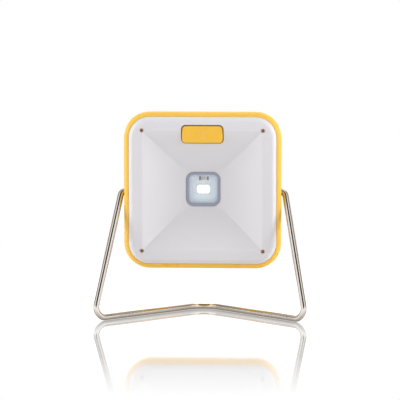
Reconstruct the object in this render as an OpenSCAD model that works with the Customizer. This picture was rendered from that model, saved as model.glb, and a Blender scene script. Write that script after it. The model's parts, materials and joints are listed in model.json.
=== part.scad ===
// Palm-size solar lantern: a square housing with a sunk light window in front and a solar
// panel behind, hung in a bent-wire stand that is also its handle and its hanging hook.
// Millimetres. +Z is up, +X is to the right, the light faces -Y, and z = 0 is the tabletop.

/* [Housing] */
// Width and height of the square housing at its widest
case_size = 100; // [96:1:110]
// Corner radius of the housing seen from the front
case_corner_r = 16.5; // [15:0.5:18]
// Distance from the pivot axis forward to the front crest
front_depth = 12.5; // [12:0.1:14]
// Distance from the pivot axis back to the rear face
rear_depth = 13; // [13:0.1:15]
// Side wall thickness
wall = 2; // [1.8:0.1:2.4]
// Draft of the side walls, in degrees, narrowing to the rear
draft = 4; // [2:0.5:5]
// Radius of the round front rim
rim_round = 3; // [2.6:0.1:3]
// Radius of the round rear edge
rear_round = 4; // [3:0.5:5]

/* [Front reflector] */
// Width of the white panel at its edge
panel_size = 93.7; // [93:0.1:93.8]
// Radius of the roll around the panel's edge
panel_roll = 3.5; // [3:0.1:3.7]
// Width of the sunk pyramid at the crest
pyramid_size = 75.8; // [70:0.1:76]
// Thickness of the reflector wall
reflector_wall = 1.8; // [1.5:0.1:2]
// Width of the square window
window_size = 22; // [20:0.5:24]
// Corner radius of the window
window_corner_r = 5; // [4.5:0.5:6]
// Depth of the window plane in front of the pivot axis
window_plane = 0.5; // [0:0.1:1]
// Width of the seal's visible border
seal_border = 1.85; // [1.4:0.05:2]

/* [Button] */
// Width of the button's hole
button_hole_w = 27; // [24:0.5:28]
// Height of the button's hole
button_hole_h = 12.1; // [11:0.1:12.5]
// Gap around the button
button_gap = 0.55; // [0.4:0.05:0.7]
// Height of the button above the pivot axis
button_up = 35.9; // [35.5:0.1:37]
// How far the button stands behind the crest plane
button_sink = 0.2; // [0:0.1:0.5]
// Travel of the button
button_travel = 0.6; // [0.4:0.1:0.7]

/* [Wire stand] */
// Diameter of the stand's wire
wire_d = 4; // [3.6:0.1:4]
// Height of the pivot axis above the table
pivot_height = 78.2; // [76:0.1:86]
// Distance of the pivot axis below the housing's middle
pivot_drop = 0.9; // [0:0.1:2]
// Half distance between the leg lines at the pivot axis
leg_top = 52; // [51.8:0.1:54]
// Half distance between the feet
foot_half = 66.4; // [64:0.1:72]
// Distance of the feet in front of the pivot axis
foot_forward = 46; // [38:0.5:50]
// Distance of the hanging hook behind the pivot axis
hook_back = 20; // [16:0.2:24]
// Centre-line radius of the bend beside each pivot
pivot_bend_r = 4.7; // [4.4:0.1:4.8]
// Centre-line radius of the bend at each foot
foot_bend_r = 5.6; // [5:0.1:8]
// Centre-line radius of the bend at the hook
hook_bend_r = 14; // [8:1:16]
// Length of the hanging notch
notch_length = 13; // [10:1:14]
// Depth of the hanging notch
notch_depth = 0.7; // [0.4:0.1:0.9]

/* [Solar panel] */
// Width of the panel's recess
solar_size = 85; // [80:1:85]
// Corner radius of the panel's recess
solar_corner_r = 9.5; // [8:0.5:10]
// Rows of cells
cell_rows = 5; // [3:1:6]
// Columns of cells
cell_columns = 2; // [1:1:3]
// Gap between cells
cell_gap = 1.2; // [1:0.1:2]

/* [Battery] */
// Diameter of the cell
battery_d = 14.1; // [13.5:0.1:14.1]
// Length of the cell
battery_length = 49; // [48:0.5:50]
// Height of the cell above the pivot axis
battery_up = -35.6; // [-36:0.1:-35]

/* [Hidden] */
$fn = 96;
tiny = 0.02;

// Frame: the footprint's middle is the origin, so the pivot axis lies behind it
pivot_y = 14.06;
half = case_size / 2;
corner_centre = half - case_corner_r;
wire_r = wire_d / 2;
swept_r = wire_r - tiny;
wire_sides = 24;

// Depths in the housing's own frame, measured forward from the pivots' plane
rim_centre_w = 6.3;
rim_front = rim_centre_w + rim_round;
ledge_w = 6.5;
seal_thickness = 0.8;
seal_w = 1.3;
panel_edge_w = ledge_w + seal_thickness;
crest = front_depth;
rear = -rear_depth;
floor_w = -8.4;
recess_w = -10;
board_front = -4;
board_thickness = 1.6;

// Reflector
panel_half = panel_size / 2;
pyramid_half = pyramid_size / 2;
window_half = window_size / 2;
slope = (crest - window_plane) / (pyramid_half - window_half);
wall_drop = reflector_wall * sqrt(1 + slope * slope);
collar_back = -1.9;
collar_wall = 1.6;
lens_step_w = -1;
opening_half = window_half - seal_border;
opening_r = window_corner_r - seal_border;

// Corner screws
screw_half = 38.4;
screw_head_r = 1.2;
screw_shank_r = 0.88;
screw_seat = crest - 2.2;
post_joint = 1;
post_r = 3;

// Button, switch and its plunger
button_face = crest - button_sink;
mark_r = 2.9;
mark_line = 0.6;
mark_depth = 0.25;
button_flange_w = 5;
switch_size = 6.2;
switch_height = 3.6;
switch_top = board_front + switch_height;
plunger_height = 0.9;
plunger_r = 1.75;
stem_r = 2.4;
button_flange = [2, 1.6, 1.2];
stem_end = switch_top + plunger_height + tiny;

// Board: its outline and where its screws stand
board_w = 25;
board_low = -22;
board_high = 44;
board_screws_at = [for (x = [-9.5, 9.5], y = [-13, 28]) [x, y]];
board_post_r = 2.6;

// Light source
led_up = -0.4;
led_size = [9.2, 6.2];
glow_size = [8.3, 5.4];
led_height = 0.7;
glow_height = 0.5;

// Battery
battery_w = floor_w + battery_d / 2 + 0.1;
battery_button_r = 2.7;
battery_can_r = 6;
pad_half = 12;
rib_x = 15;
tab_thickness = 0.2;
tab_size = [4, 9];

// Pivots, measured outward from the housing's middle
bush_r = 3.2;
bush_bore_r = wire_r + 0.05;
bush_in = 41.2;
bush_out = 47.5;
flange_thickness = 0.7;
flange_r = 4.4;
clip_gap = 0.3;
clip_thickness = 0.6;
clip_in = bush_in - flange_thickness - clip_gap - clip_thickness;
groove_r = 1.5;
clip_r = 3.4;
wire_end = 38.4;
pivot_boss_r = 5.2;
pivot_web = 6;
mouth_r = 3.7;

// Solar panel, stacked backward from the recess floor
tape_back = recess_w - 0.4;
tape_w = 5;
ribbon_w = 1.2;
sheet_back = tape_back - 0.8;
cell_back = sheet_back - 0.25;
ribbon_back = cell_back - 0.12;
cover_back = rear + 0.1;
solar_half = solar_size / 2;
cell_field = solar_size - 9;
cell_w = (cell_field - (cell_columns - 1) * cell_gap) / cell_columns;
cell_h = (cell_field - (cell_rows - 1) * cell_gap) / cell_rows;

// Routes of the inner leads, in the housing's frame: right, up, forward
lead_r = 0.6;
lead_hole = [16, -16];
lead_hole_r = 2;
lead_start = battery_length / 2 + 0.85;
battery_red_route = [[lead_start, -31, -1], [lead_start, -25, -1], [8.2, -25, -1], [8.2, -20.4, -2]];
battery_black_route = [[-lead_start, -31, -1], [-lead_start, -25, -1], [4.8, -25, -1], [4.8, -20.4, -2]];
panel_red_route = [
    [16, -16.6, tape_back], [16, -16.6, -6.6], [16, -22, -4], [-4.8, -24.5, -3.4], [-4.8, -20.4, -2]
];
panel_black_route = [
    [16, -14.9, tape_back], [16, -14.9, -4.9], [16, -22, -2.2], [-8.2, -27, -3.4], [-8.2, -20.4, -2]
];

// The stand's centre line, from the left pivot to the right one
stand_route = [
    [-wire_end, pivot_y, pivot_height],
    [-leg_top, pivot_y, pivot_height],
    [-foot_half, pivot_y - foot_forward, swept_r],
    [0, pivot_y + hook_back, swept_r],
    [foot_half, pivot_y - foot_forward, swept_r],
    [leg_top, pivot_y, pivot_height],
    [wire_end, pivot_y, pivot_height]
];
stand_bends = [0, pivot_bend_r, foot_bend_r, hook_bend_r, foot_bend_r, pivot_bend_r, 0];
bend_steps = 14;

// ---- Frames and outlines ----

// Puts the housing's frame (right, up, forward) in place: its middle, in the pivots' plane
module in_housing() translate([0, pivot_y, pivot_height + pivot_drop]) rotate([90, 0, 0]) children();

module rounded_rect(w, h, r) {
    square([w - 2 * r, h], center = true);
    square([w, h - 2 * r], center = true);
    for (x = [-1, 1], y = [-1, 1])
        translate([x * (w / 2 - r), y * (h / 2 - r)]) circle(r);
}

// A rounded plate between two depths
module plate(w, h, r, back, front)
    translate([0, 0, back]) linear_extrude(front - back) rounded_rect(w, h, r);

// A profile (outward from the corner centre, forward) carried around the rounded square
module square_turn(low, high) {
    side = 2 * corner_centre;
    translate([-corner_centre, -corner_centre, low]) cube([side, side, high - low]);
    for (turn = [0 : 90 : 270]) rotate([0, 0, turn]) {
        translate([corner_centre, corner_centre, 0]) rotate([90, 0, 0]) linear_extrude(side) children();
        translate([corner_centre, corner_centre, 0]) rotate_extrude(angle = 90) children();
    }
}

// A square frustum that widens forward, from half width a at depth low to b at depth high
module frustum(a, low, b, high) {
    outline = [[-a, low], [a, low], [b, high], [-b, high]];
    intersection() {
        rotate([90, 0, 0]) linear_extrude(4 * b, center = true) polygon(outline);
        rotate([90, 0, 90]) linear_extrude(4 * b, center = true) polygon(outline);
    }
}

// ---- Bent wire ----

function unit(v) = v / norm(v);

// Points along a round bend of radius r at the corner v, between the directions to a and to b
function bend_points(a, v, b, r, steps) =
    let (
        corner = acos(unit(a - v) * unit(b - v)),
        centre = v + unit(unit(a - v) + unit(b - v)) * r / sin(corner / 2),
        from = v + unit(a - v) * r / tan(corner / 2) - centre,
        to = v + unit(b - v) * r / tan(corner / 2) - centre,
        bend = 180 - corner
    )
    [for (k = [0 : steps]) centre + (from * sin(bend * (1 - k / steps)) + to * sin(bend * k / steps)) / sin(bend)];

// The corners of a route, each rounded to its bend radius
function rounded_route(points, bends, steps) = [
    for (i = [0 : len(points) - 1])
        each bends[i] == 0 ? [points[i]]
            : bend_points(points[i - 1], points[i], points[i + 1], bends[i], steps)
];

// Direction of a route at point i
function heading(route, i) =
    i == 0 ? unit(route[1] - route[0])
    : i == len(route) - 1 ? unit(route[i] - route[i - 1])
    : unit(unit(route[i] - route[i - 1]) + unit(route[i + 1] - route[i]));

// Sideways axes along a route, each turned as little as possible from the one before
function side_axes(route, first) = [
    for (i = 0, x = first; i < len(route);
        i = i + 1, x = i < len(route) ? unit(x - (x * heading(route, i)) * heading(route, i)) : x) x
];

// Tube of radius r with flat-sided walls, swept along a route
module tube(route, r, sides) {
    start = heading(route, 0);
    rough = abs(start.z) < 0.9 ? [0, 0, 1] : [1, 0, 0];
    axes = side_axes(route, unit(cross(start, rough)));
    last = len(route) - 1;
    polyhedron(
        points = [for (i = [0 : last]) let (x = axes[i], y = cross(heading(route, i), x))
            for (k = [0 : sides - 1]) route[i] + (x * cos(360 * k / sides) + y * sin(360 * k / sides)) * r],
        faces = [
            [for (k = [0 : sides - 1]) k],
            for (i = [0 : last - 1], k = [0 : sides - 1])
                [i * sides + (k + 1) % sides, i * sides + k, (i + 1) * sides + k, (i + 1) * sides + (k + 1) % sides],
            [for (k = [sides - 1 : -1 : 0]) last * sides + k]
        ]
    );
}

// ---- Stand ----

module wire_stand() color("silver") {
    notch_r = (notch_length * notch_length / 4 + notch_depth * notch_depth) / (2 * notch_depth);
    route = rounded_route(stand_route, stand_bends, bend_steps);
    bent = [for (i = [1 : len(route) - 2]) route[i]];
    stub = route[1].x + wire_end;
    difference() {
        tube(bent, swept_r, wire_sides);
        translate([0, pivot_y + hook_back, wire_d - notch_depth + notch_r]) rotate([90, 0, 0])
            cylinder(h = 30, r = notch_r, center = true, $fn = 200);
    }
    for (side = [-1, 1]) translate([side * wire_end, pivot_y, pivot_height]) rotate([0, side * 90, 0])
        difference() {
            cylinder(h = -stub + 0.1, r = wire_r);
            translate([0, 0, clip_in - wire_end - 0.05]) difference() {
                cylinder(h = clip_thickness + 0.1, r = wire_r + 1);
                translate([0, 0, -1]) cylinder(h = clip_thickness + 2, r = groove_r);
            }
        }
}

// Snap ring in the groove at one end of the wire
module clip(side) color("dimgray")
    translate([side * clip_in, pivot_y, pivot_height]) rotate([0, side * 90, 0]) linear_extrude(clip_thickness)
        difference() {
            circle(clip_r);
            circle(groove_r + tiny);
            translate([0, -0.95]) square([4, 1.9]);
        }

// Flanged sleeve that the wire's end turns in
module bush(side) color("gainsboro")
    translate([side * bush_in, pivot_y, pivot_height]) rotate([0, side * 90, 0]) difference() {
        union() {
            cylinder(h = bush_out - bush_in, r = bush_r);
            translate([0, 0, -flange_thickness]) cylinder(h = flange_thickness, r = flange_r);
        }
        translate([0, 0, -flange_thickness - 1]) cylinder(h = bush_out, r = bush_bore_r);
    }

// ---- Housing shells ----

// Outline of the shell's wall, seen along the wall
module shell_profile() {
    front_x = case_corner_r - rim_round;
    rear_w = rear + rear_round;
    rear_x = case_corner_r - (rear_round + (rim_centre_w - rear_w) * sin(draft)) / cos(draft)
        + rim_round * (1 - cos(draft)) / cos(draft);
    out = [cos(draft), -sin(draft)];
    translate([front_x, rim_centre_w]) circle(rim_round);
    translate([rear_x, rear_w]) circle(rear_round);
    polygon([
        [0, rear], [rear_x, rear], [rear_x, rear_w] + out * rear_round,
        [front_x, rim_centre_w] + out * rim_round, [front_x, rim_front], [0, rim_front]
    ]);
}

// Outline of the space inside the shell, with the ledge that carries the seal
module shell_space_profile() {
    face = case_corner_r - wall;
    pocket = case_corner_r - half + panel_half + 0.1;
    lip = pocket - 1.6;
    narrow = (ledge_w - floor_w) * tan(draft);
    polygon([
        [0, floor_w], [face - narrow - 2, floor_w], [face - narrow, floor_w + 2],
        [face, ledge_w - 4.5], [lip, ledge_w - 1.5], [lip, ledge_w],
        [pocket, ledge_w], [pocket, rim_front + 1], [0, rim_front + 1]
    ]);
}

module rear_shell() color("gold") in_housing() difference() {
    union() {
        difference() {
            square_turn(rear, rim_front) shell_profile();
            square_turn(floor_w, rim_front + 1) shell_space_profile();
        }
        for (x = [-1, 1], y = [-1, 1])
            translate([x * screw_half, y * screw_half, floor_w - 0.5])
                cylinder(h = post_joint - floor_w + 0.5, r = post_r);
        for (at = board_screws_at)
            translate([at.x, at.y, floor_w - 0.5]) cylinder(h = board_front - board_thickness - floor_w + 0.5, r = board_post_r);
        for (side = [-1, 1]) {
            translate([side * (bush_in + (half - wall - bush_in) / 2), -pivot_drop, 0]) rotate([0, 90, 0])
                cylinder(h = half - wall - bush_in, r = pivot_boss_r, center = true);
            translate([side * (bush_in + pivot_web / 2), -pivot_drop, floor_w / 2 - 0.25])
                cube([pivot_web, pivot_web, -floor_w + 0.5], center = true);
        }
        for (x = [-rib_x, rib_x])
            translate([x, battery_up, floor_w + 2]) cube([2, battery_d - 1, 5], center = true);
    }
    for (x = [-1, 1], y = [-1, 1])
        translate([x * screw_half, y * screw_half, floor_w + 1.5]) cylinder(h = 10, r = screw_shank_r + tiny);
    for (at = board_screws_at)
        translate([at.x, at.y, floor_w - 0.4]) cylinder(h = 6, r = 0.9);
    for (side = [-1, 1]) translate([0, -pivot_drop, 0]) rotate([0, side * 90, 0]) {
        translate([0, 0, bush_in - 1]) cylinder(h = 12, r = bush_r + tiny);
        translate([0, 0, bush_out + 0.1]) cylinder(h = 6, r = mouth_r);
    }
    translate([0, battery_up, battery_w]) rotate([0, 90, 0])
        cylinder(h = battery_length, r = battery_d / 2 + 0.05, center = true);
    plate(solar_size, solar_size, solar_corner_r, rear - 1, recess_w);
    translate([lead_hole.x, lead_hole.y, recess_w - 1]) cylinder(h = 4, r = lead_hole_r);
}

// Outline of the reflector's edge and crest
module panel_profile() {
    edge = case_corner_r - half + panel_half;
    intersection() {
        translate([edge - panel_roll, crest - panel_roll]) circle(panel_roll);
        translate([0, panel_edge_w]) square(2 * panel_roll + edge);
    }
    polygon([
        [0, panel_edge_w], [edge, panel_edge_w], [edge, crest - panel_roll],
        [edge - panel_roll, crest], [0, crest]
    ]);
}

module panel_space_profile() {
    edge = case_corner_r - half + panel_half - reflector_wall;
    polygon([
        [0, panel_edge_w - 1], [edge, panel_edge_w - 1], [edge, panel_edge_w + 1],
        [edge - 2.2, crest - reflector_wall], [0, crest - reflector_wall]
    ]);
}

module front_reflector() color("whitesmoke") in_housing() difference() {
    union() {
        difference() {
            square_turn(panel_edge_w, crest) panel_profile();
            square_turn(panel_edge_w - 1, crest - reflector_wall) panel_space_profile();
        }
        translate([0, 0, -wall_drop]) intersection() {
            frustum(window_half, window_plane, pyramid_half, crest);
            cube([case_size, case_size, 2 * crest], center = true);
        }
        plate(window_size + 2 * collar_wall, window_size + 2 * collar_wall, window_corner_r + collar_wall,
            collar_back, window_plane + 0.4);
        for (x = [-1, 1], y = [-1, 1])
            translate([x * screw_half, y * screw_half, post_joint])
                cylinder(h = crest - 1 - post_joint, r = post_r - 0.2);
    }
    frustum(window_half, window_plane, pyramid_half + 2 / slope, crest + 2);
    plate(window_size, window_size, window_corner_r, collar_back - 1, window_plane + 1);
    translate([0, button_up, 0]) plate(button_hole_w, button_hole_h, 3, 2, crest + 1);
    for (x = [-1, 1], y = [-1, 1]) translate([x * screw_half, y * screw_half, 0]) {
        cylinder(h = crest, r = 1);
        translate([0, 0, screw_seat - 1]) cylinder(h = 8, r = screw_head_r + 0.1);
    }
}

// Square gasket pressed between the ledge and the reflector's edge
module case_seal() color("slategray") in_housing() difference() {
    outer = 2 * panel_half;
    inner = 2 * (panel_half - seal_w);
    plate(outer, outer, case_corner_r - half + panel_half, ledge_w, panel_edge_w);
    plate(inner, inner, case_corner_r - half + panel_half - seal_w, ledge_w - 1, panel_edge_w + 1);
}

// Self-tapping screws that close the housing, sunk in their holes
module corner_screws() color("peru") in_housing()
    for (x = [-1, 1], y = [-1, 1]) translate([x * screw_half, y * screw_half, 0]) difference() {
        union() {
            translate([0, 0, screw_seat - 1]) cylinder(h = 1.1, r = screw_head_r);
            translate([0, 0, floor_w + 2]) cylinder(h = screw_seat - 1 - floor_w - 2 + tiny, r = screw_shank_r);
        }
        for (turn = [0, 90]) rotate([0, 0, turn])
            translate([0, 0, screw_seat]) cube([1.5, 0.35, 0.9], center = true);
    }

// ---- Window ----

module window_seal() color("lightslategray") in_housing() difference() {
    plate(window_size - 0.1, window_size - 0.1, window_corner_r - 0.05, lens_step_w, window_plane + 0.1);
    plate(2 * opening_half, 2 * opening_half, opening_r, lens_step_w - 1, window_plane + 1);
}

module window_lens() color("lightblue", 0.4) in_housing() {
    plate(2 * opening_half - 0.1, 2 * opening_half - 0.1, opening_r - 0.05, lens_step_w - tiny, window_plane - 0.1);
    plate(window_size - 0.2, window_size - 0.2, window_corner_r - 0.1, collar_back, lens_step_w - tiny);
}

// ---- Button and switch ----

// Power mark: a ring open at the top with a bar in the opening
module power_mark() {
    difference() {
        circle(mark_r);
        circle(mark_r - mark_line);
        translate([0, mark_r]) square([mark_r - 0.2, mark_r], center = true);
    }
    translate([0, 2.2]) square([mark_line, 3.4], center = true);
}

module power_button() color("goldenrod") in_housing() translate([0, button_up, 0]) {
    w = button_hole_w - 2 * button_gap;
    h = button_hole_h - 2 * button_gap;
    difference() {
        plate(w, h, 2.5, button_flange_w, button_face);
        translate([0, 0, button_face - mark_depth]) linear_extrude(1) power_mark();
    }
    plate(button_hole_w + button_flange.x, button_hole_h + button_flange.y, 3,
        button_flange_w, button_flange_w + button_flange.z);
    translate([0, 0, stem_end]) cylinder(h = button_flange_w - stem_end + 0.5, r = stem_r);
}

module tact_switch() color("dimgray") in_housing() translate([0, button_up, 0]) difference() {
    union() {
        plate(switch_size, switch_size, 0.4, board_front, switch_top - 0.4);
        plate(switch_size - 0.6, switch_size - 0.6, 0.4, switch_top - 0.5, switch_top);
    }
    translate([0, 0, switch_top - 1]) cylinder(h = 2, r = plunger_r + 0.06);
}

module switch_plunger() color("orangered") in_housing() translate([0, button_up, switch_top - 0.1])
    cylinder(h = plunger_height + 0.1 - tiny, r = plunger_r);

// ---- Board and its components ----

// A chip or block standing on the board
module on_board(x, y, size, r = 0.2) translate([x, y, 0])
    plate(size.x, size.y, r, board_front, board_front + size.z);

module led_board() color("white") in_housing() difference() {
    translate([0, (board_low + board_high) / 2, 0])
        plate(board_w, board_high - board_low, 2, board_front - board_thickness, board_front);
    for (at = board_screws_at)
        translate([at.x, at.y, board_front - 3]) cylinder(h = 5, r = 1.1);
}

module board_screws() color("lightgray") in_housing() for (at = board_screws_at)
    translate([at.x, at.y, board_front]) difference() {
        union() {
            translate([0, 0, tiny]) cylinder(h = 1, r = 1.8);
            translate([0, 0, -4.2]) cylinder(h = 4.4, r = 0.88);
        }
        for (turn = [0, 90]) rotate([0, 0, turn]) translate([0, 0, 1]) cube([2, 0.5, 0.9], center = true);
    }

module led_base() color("ivory") in_housing() on_board(0, led_up, [led_size.x, led_size.y, led_height], 0.6);

// Silicone dome that covers the light-emitting chips
module led_phosphor() color("lightyellow") in_housing() translate([0, led_up, 0])
    plate(glow_size.x, glow_size.y, 1.6, board_front + led_height, board_front + led_height + glow_height);

module indicator_led() color("pink") in_housing() on_board(0.6, 6.5, [1.6, 1.8, 0.8]);

module sense_resistors() color("black") in_housing() {
    on_board(-2.2, 6.5, [1.2, 2.6, 0.6]);
    on_board(2.7, 6.5, [1.2, 2.2, 0.6]);
    for (x = [3, 6, 9]) on_board(x, 22.5, [1.2, 2.2, 0.6]);
}

module ceramic_capacitors() color("tan") in_housing() {
    on_board(-0.9, 6.5, [0.8, 2.2, 0.9]);
    for (x = [-9, -5.5]) on_board(x, 22.5, [1.8, 3.2, 1.6]);
}

module charge_controller() color("black") in_housing() {
    on_board(5.5, 17, [5, 3.9, 1.5]);
    for (x = [3.6, 4.87, 6.13, 7.4], side = [-1, 1])
        on_board(x, 17 + side * 2.6, [0.45, 1.4, 0.3], 0.05);
}

module boost_inductor() color("dimgray") in_housing() translate([-6, 16.5, 0]) {
    plate(6, 6, 1, board_front, board_front + 0.8);
    translate([0, 0, board_front + 0.6]) cylinder(h = 1.6, r = 2.4);
    plate(5.6, 5.6, 2.4, board_front + 2.1, board_front + 2.8);
}

// Two-pin socket for a pair of leads
module lead_socket(x) translate([x, -17.6, 0]) difference() {
    plate(7, 5, 0.3, board_front, board_front + 3.6);
    translate([0, -2, board_front + 2]) cube([5.6, 3, 2], center = true);
}

module battery_socket() color("ivory") in_housing() lead_socket(6.5);

module panel_socket() color("ivory") in_housing() lead_socket(-6.5);

// ---- Battery ----

module battery_cell() color("steelblue") in_housing() translate([0, battery_up, battery_w]) rotate([0, 90, 0]) {
    cylinder(h = battery_length - 1, r = battery_d / 2, center = true);
    translate([0, 0, battery_length / 2 - 1]) cylinder(h = 1, r = battery_button_r);
    translate([0, 0, -battery_length / 2]) cylinder(h = 1, r = battery_can_r);
}

// Nickel strips welded to the cell's ends
module battery_tabs() color("silver") in_housing() for (side = [-1, 1])
    translate([side * (battery_length / 2 + tab_thickness / 2 + tiny), battery_up + 2, battery_w])
        cube([tab_thickness, tab_size.y, tab_size.x], center = true);

// Foam block that holds the cell down in its ribs
module battery_pad() color("darkslategray") in_housing() difference() {
    y0 = battery_up - 1.8;
    y1 = battery_up + 6.6;
    behind = window_plane - wall_drop - 0.1;
    translate([-pad_half, 0, 0]) rotate([90, 0, 90]) linear_extrude(2 * pad_half) polygon([
        [y0, battery_w + 3], [y1, battery_w + 3],
        [y1, behind + (-y1 - window_half) * slope], [y0, behind + (-y0 - window_half) * slope]
    ]);
    translate([0, battery_up, battery_w]) rotate([0, 90, 0])
        cylinder(h = 40, r = battery_d / 2 + tiny, center = true);
}

// ---- Leads ----

// Lead whose corners are rounded to the bend radius of its insulation
module lead(route) {
    last = len(route) - 1;
    tube(rounded_route(route, [for (i = [0 : last]) i == 0 || i == last ? 0 : 1.4], 4), lead_r, 8);
}

module battery_lead_red() color("red") in_housing() lead(battery_red_route);

module battery_lead_black() color("black") in_housing() lead(battery_black_route);

module panel_lead_red() color("red") in_housing() lead(panel_red_route);

module panel_lead_black() color("black") in_housing() lead(panel_black_route);

// ---- Solar panel ----

module panel_tape() color("black") in_housing() difference() {
    outer = solar_size - 0.8;
    plate(outer, outer, solar_corner_r - 0.4, tape_back, recess_w);
    plate(outer - 2 * tape_w, outer - 2 * tape_w, solar_corner_r - 0.4 - tape_w, tape_back - 1, recess_w + 1);
}

module solar_backsheet() color("white") in_housing()
    plate(solar_size - 0.5, solar_size - 0.5, solar_corner_r - 0.25, sheet_back, tape_back);

// Centre of a cell in a column and a row
function cell_at(i, j) = [
    -cell_field / 2 + cell_w / 2 + i * (cell_w + cell_gap),
    -cell_field / 2 + cell_h / 2 + j * (cell_h + cell_gap)
];

module solar_cells() color("midnightblue") in_housing()
    for (i = [0 : cell_columns - 1], j = [0 : cell_rows - 1])
        translate([cell_at(i, j).x - cell_w / 2, cell_at(i, j).y - cell_h / 2, cell_back])
            cube([cell_w, cell_h, sheet_back - cell_back]);

module cell_ribbons() color("silver") in_housing()
    for (i = [0 : cell_columns - 1], part = [-0.25, 0.25])
        translate([cell_at(i, 0).x + part * cell_w - ribbon_w / 2, -cell_field / 2 - 0.8, ribbon_back])
            cube([ribbon_w, cell_field + 1.6, cell_back - ribbon_back]);

module panel_cover() color("lightsteelblue", 0.3) in_housing() difference() {
    plate(solar_size - 0.4, solar_size - 0.4, solar_corner_r - 0.2, cover_back, sheet_back);
    plate(solar_size - 4, solar_size - 4, solar_corner_r - 4, ribbon_back, sheet_back + 1);
}

wire_stand();
clip(-1);  // clip_left
clip(1);  // clip_right
bush(-1);  // bush_left
bush(1);  // bush_right
rear_shell();
front_reflector();
case_seal();
corner_screws();
window_seal();
window_lens();
power_button();
tact_switch();
switch_plunger();
led_board();
board_screws();
led_base();
led_phosphor();
indicator_led();
sense_resistors();
ceramic_capacitors();
charge_controller();
boost_inductor();
battery_socket();
panel_socket();
battery_cell();
battery_tabs();
battery_pad();
battery_lead_red();
battery_lead_black();
panel_lead_red();
panel_lead_black();
panel_tape();
solar_backsheet();
solar_cells();
cell_ribbons();
panel_cover();
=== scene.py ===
"""Looks of the palm-size solar lantern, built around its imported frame.

Sizes are in millimetres in the housing's own frame: right, up and forward, measured from the
housing's middle in the pivots' plane. place() turns them into metres in the row frame.
"""
import json
import math

import bmesh
import bpy
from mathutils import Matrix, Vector
from mathutils.bvhtree import BVHTree
from mathutils.interpolate import poly_3d_calc


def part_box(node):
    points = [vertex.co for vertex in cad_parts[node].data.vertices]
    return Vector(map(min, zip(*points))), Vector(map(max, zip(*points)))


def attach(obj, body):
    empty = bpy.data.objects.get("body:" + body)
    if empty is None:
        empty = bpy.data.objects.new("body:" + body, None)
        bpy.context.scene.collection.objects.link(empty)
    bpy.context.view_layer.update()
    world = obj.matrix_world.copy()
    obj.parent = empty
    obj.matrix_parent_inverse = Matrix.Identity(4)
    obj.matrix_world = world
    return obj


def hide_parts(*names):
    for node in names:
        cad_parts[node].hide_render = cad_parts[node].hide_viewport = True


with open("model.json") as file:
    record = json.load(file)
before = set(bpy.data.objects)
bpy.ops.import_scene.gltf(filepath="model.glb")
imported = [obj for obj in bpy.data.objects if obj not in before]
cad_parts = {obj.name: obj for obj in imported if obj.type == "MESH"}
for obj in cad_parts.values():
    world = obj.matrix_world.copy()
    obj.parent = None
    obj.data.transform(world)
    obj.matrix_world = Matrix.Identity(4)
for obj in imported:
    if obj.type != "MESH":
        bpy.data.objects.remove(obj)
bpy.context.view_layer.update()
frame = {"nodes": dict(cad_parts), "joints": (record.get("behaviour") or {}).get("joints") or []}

MM = 0.001

# ---- Driving dimensions, from the frame ----

NODES = frame["nodes"]
PIVOT = Vector(frame["joints"][0]["pos_m"])


def half_size(node):
    """Half the width of a CAD node, in mm."""
    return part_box(node)[1].x / MM


def front_of(node):
    """Distance of a CAD node's front from the pivots' plane, in mm."""
    return (PIVOT.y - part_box(node)[0].y) / MM


def back_of(node):
    """Distance of a CAD node's back from the pivots' plane, in mm, measured forward."""
    return (PIVOT.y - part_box(node)[1].y) / MM


def middle_of(node):
    """Middle height of a CAD node, in metres."""
    low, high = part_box(node)
    return (low.z + high.z) / 2


MIDDLE = middle_of("rear_shell")
PANEL_HALF = half_size("front_reflector")
CREST = front_of("front_reflector")
PANEL_BACK = front_of("case_seal")
BUTTON_UP = (middle_of("power_button") - MIDDLE) / MM
BUTTON_FACE = front_of("power_button")
BUTTON_BACK = back_of("power_button")
BOARD_FRONT = front_of("led_board")

# ---- Detail sizes, in mm ----

PANEL_CORNER = 13.35
PANEL_ROLL = 3.5
PYRAMID_HALF = 37.9
PYRAMID_SAG = 0.18
CREASE = 0.45
WALL = 1.8
POST_R = 2.8
BORE_R = 1.0
WINDOW_HALF = 11.0
WINDOW_CORNER = 5.0
WINDOW_PLANE = 0.5
COLLAR_BACK = -1.9
COLLAR_WALL = 1.6
SEAL_BORDER = 1.85
SCREW_HALF = 38.4
SCREW_SEAT = CREST - 2.2
SCREW_HEAD = 1.2
SCREW_SHANK = 0.86
SCREW_PITCH = 0.7
BUTTON_HOLE = (13.5, 6.05, 3.0)
BUTTON_GAP = 0.62
BUTTON_EDGE = 0.7
BUTTON_SEAT = 5.0
BUTTON_FLANGE = (1.5, 1.3, 1.0)
STEM_R = 2.4
MARK_RADII = (2.3, 2.9)
MARK_FLOOR = BUTTON_FACE - 0.22

WIRE_R = 2.0
LEG_TOP = 52.0
FOOT_HALF = 66.4
FOOT_FORWARD = 46.0
HOOK_BACK = 20.0
WIRE_END = 38.4
WIRE_CHAMFER = 0.35
GROOVE_R = 1.5
GROOVE = (1.19, 1.81)
PIVOT_BEND = 4.7
FOOT_BEND = 5.6
HOOK_BEND = 14.0
NOTCH_LENGTH = 13.0
NOTCH_DEPTH = 0.7


def place(right, up, forward):
    """A point of the housing's frame, in metres in the row frame."""
    return Vector((right * MM, PIVOT.y - forward * MM, MIDDLE + up * MM))


# ---- Mesh building ----


def new_object(name, bm, sharp=35):
    """A mesh object from a bmesh, smooth but for edges sharper than an angle in degrees."""
    bmesh.ops.recalc_face_normals(bm, faces=bm.faces)
    mesh = bpy.data.meshes.new(name)
    bm.to_mesh(mesh)
    bm.free()
    mesh.shade_smooth()
    mesh.set_sharp_from_angle(angle=math.radians(sharp))
    made = bpy.data.objects.new(name, mesh)
    bpy.context.scene.collection.objects.link(made)
    return made


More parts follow.
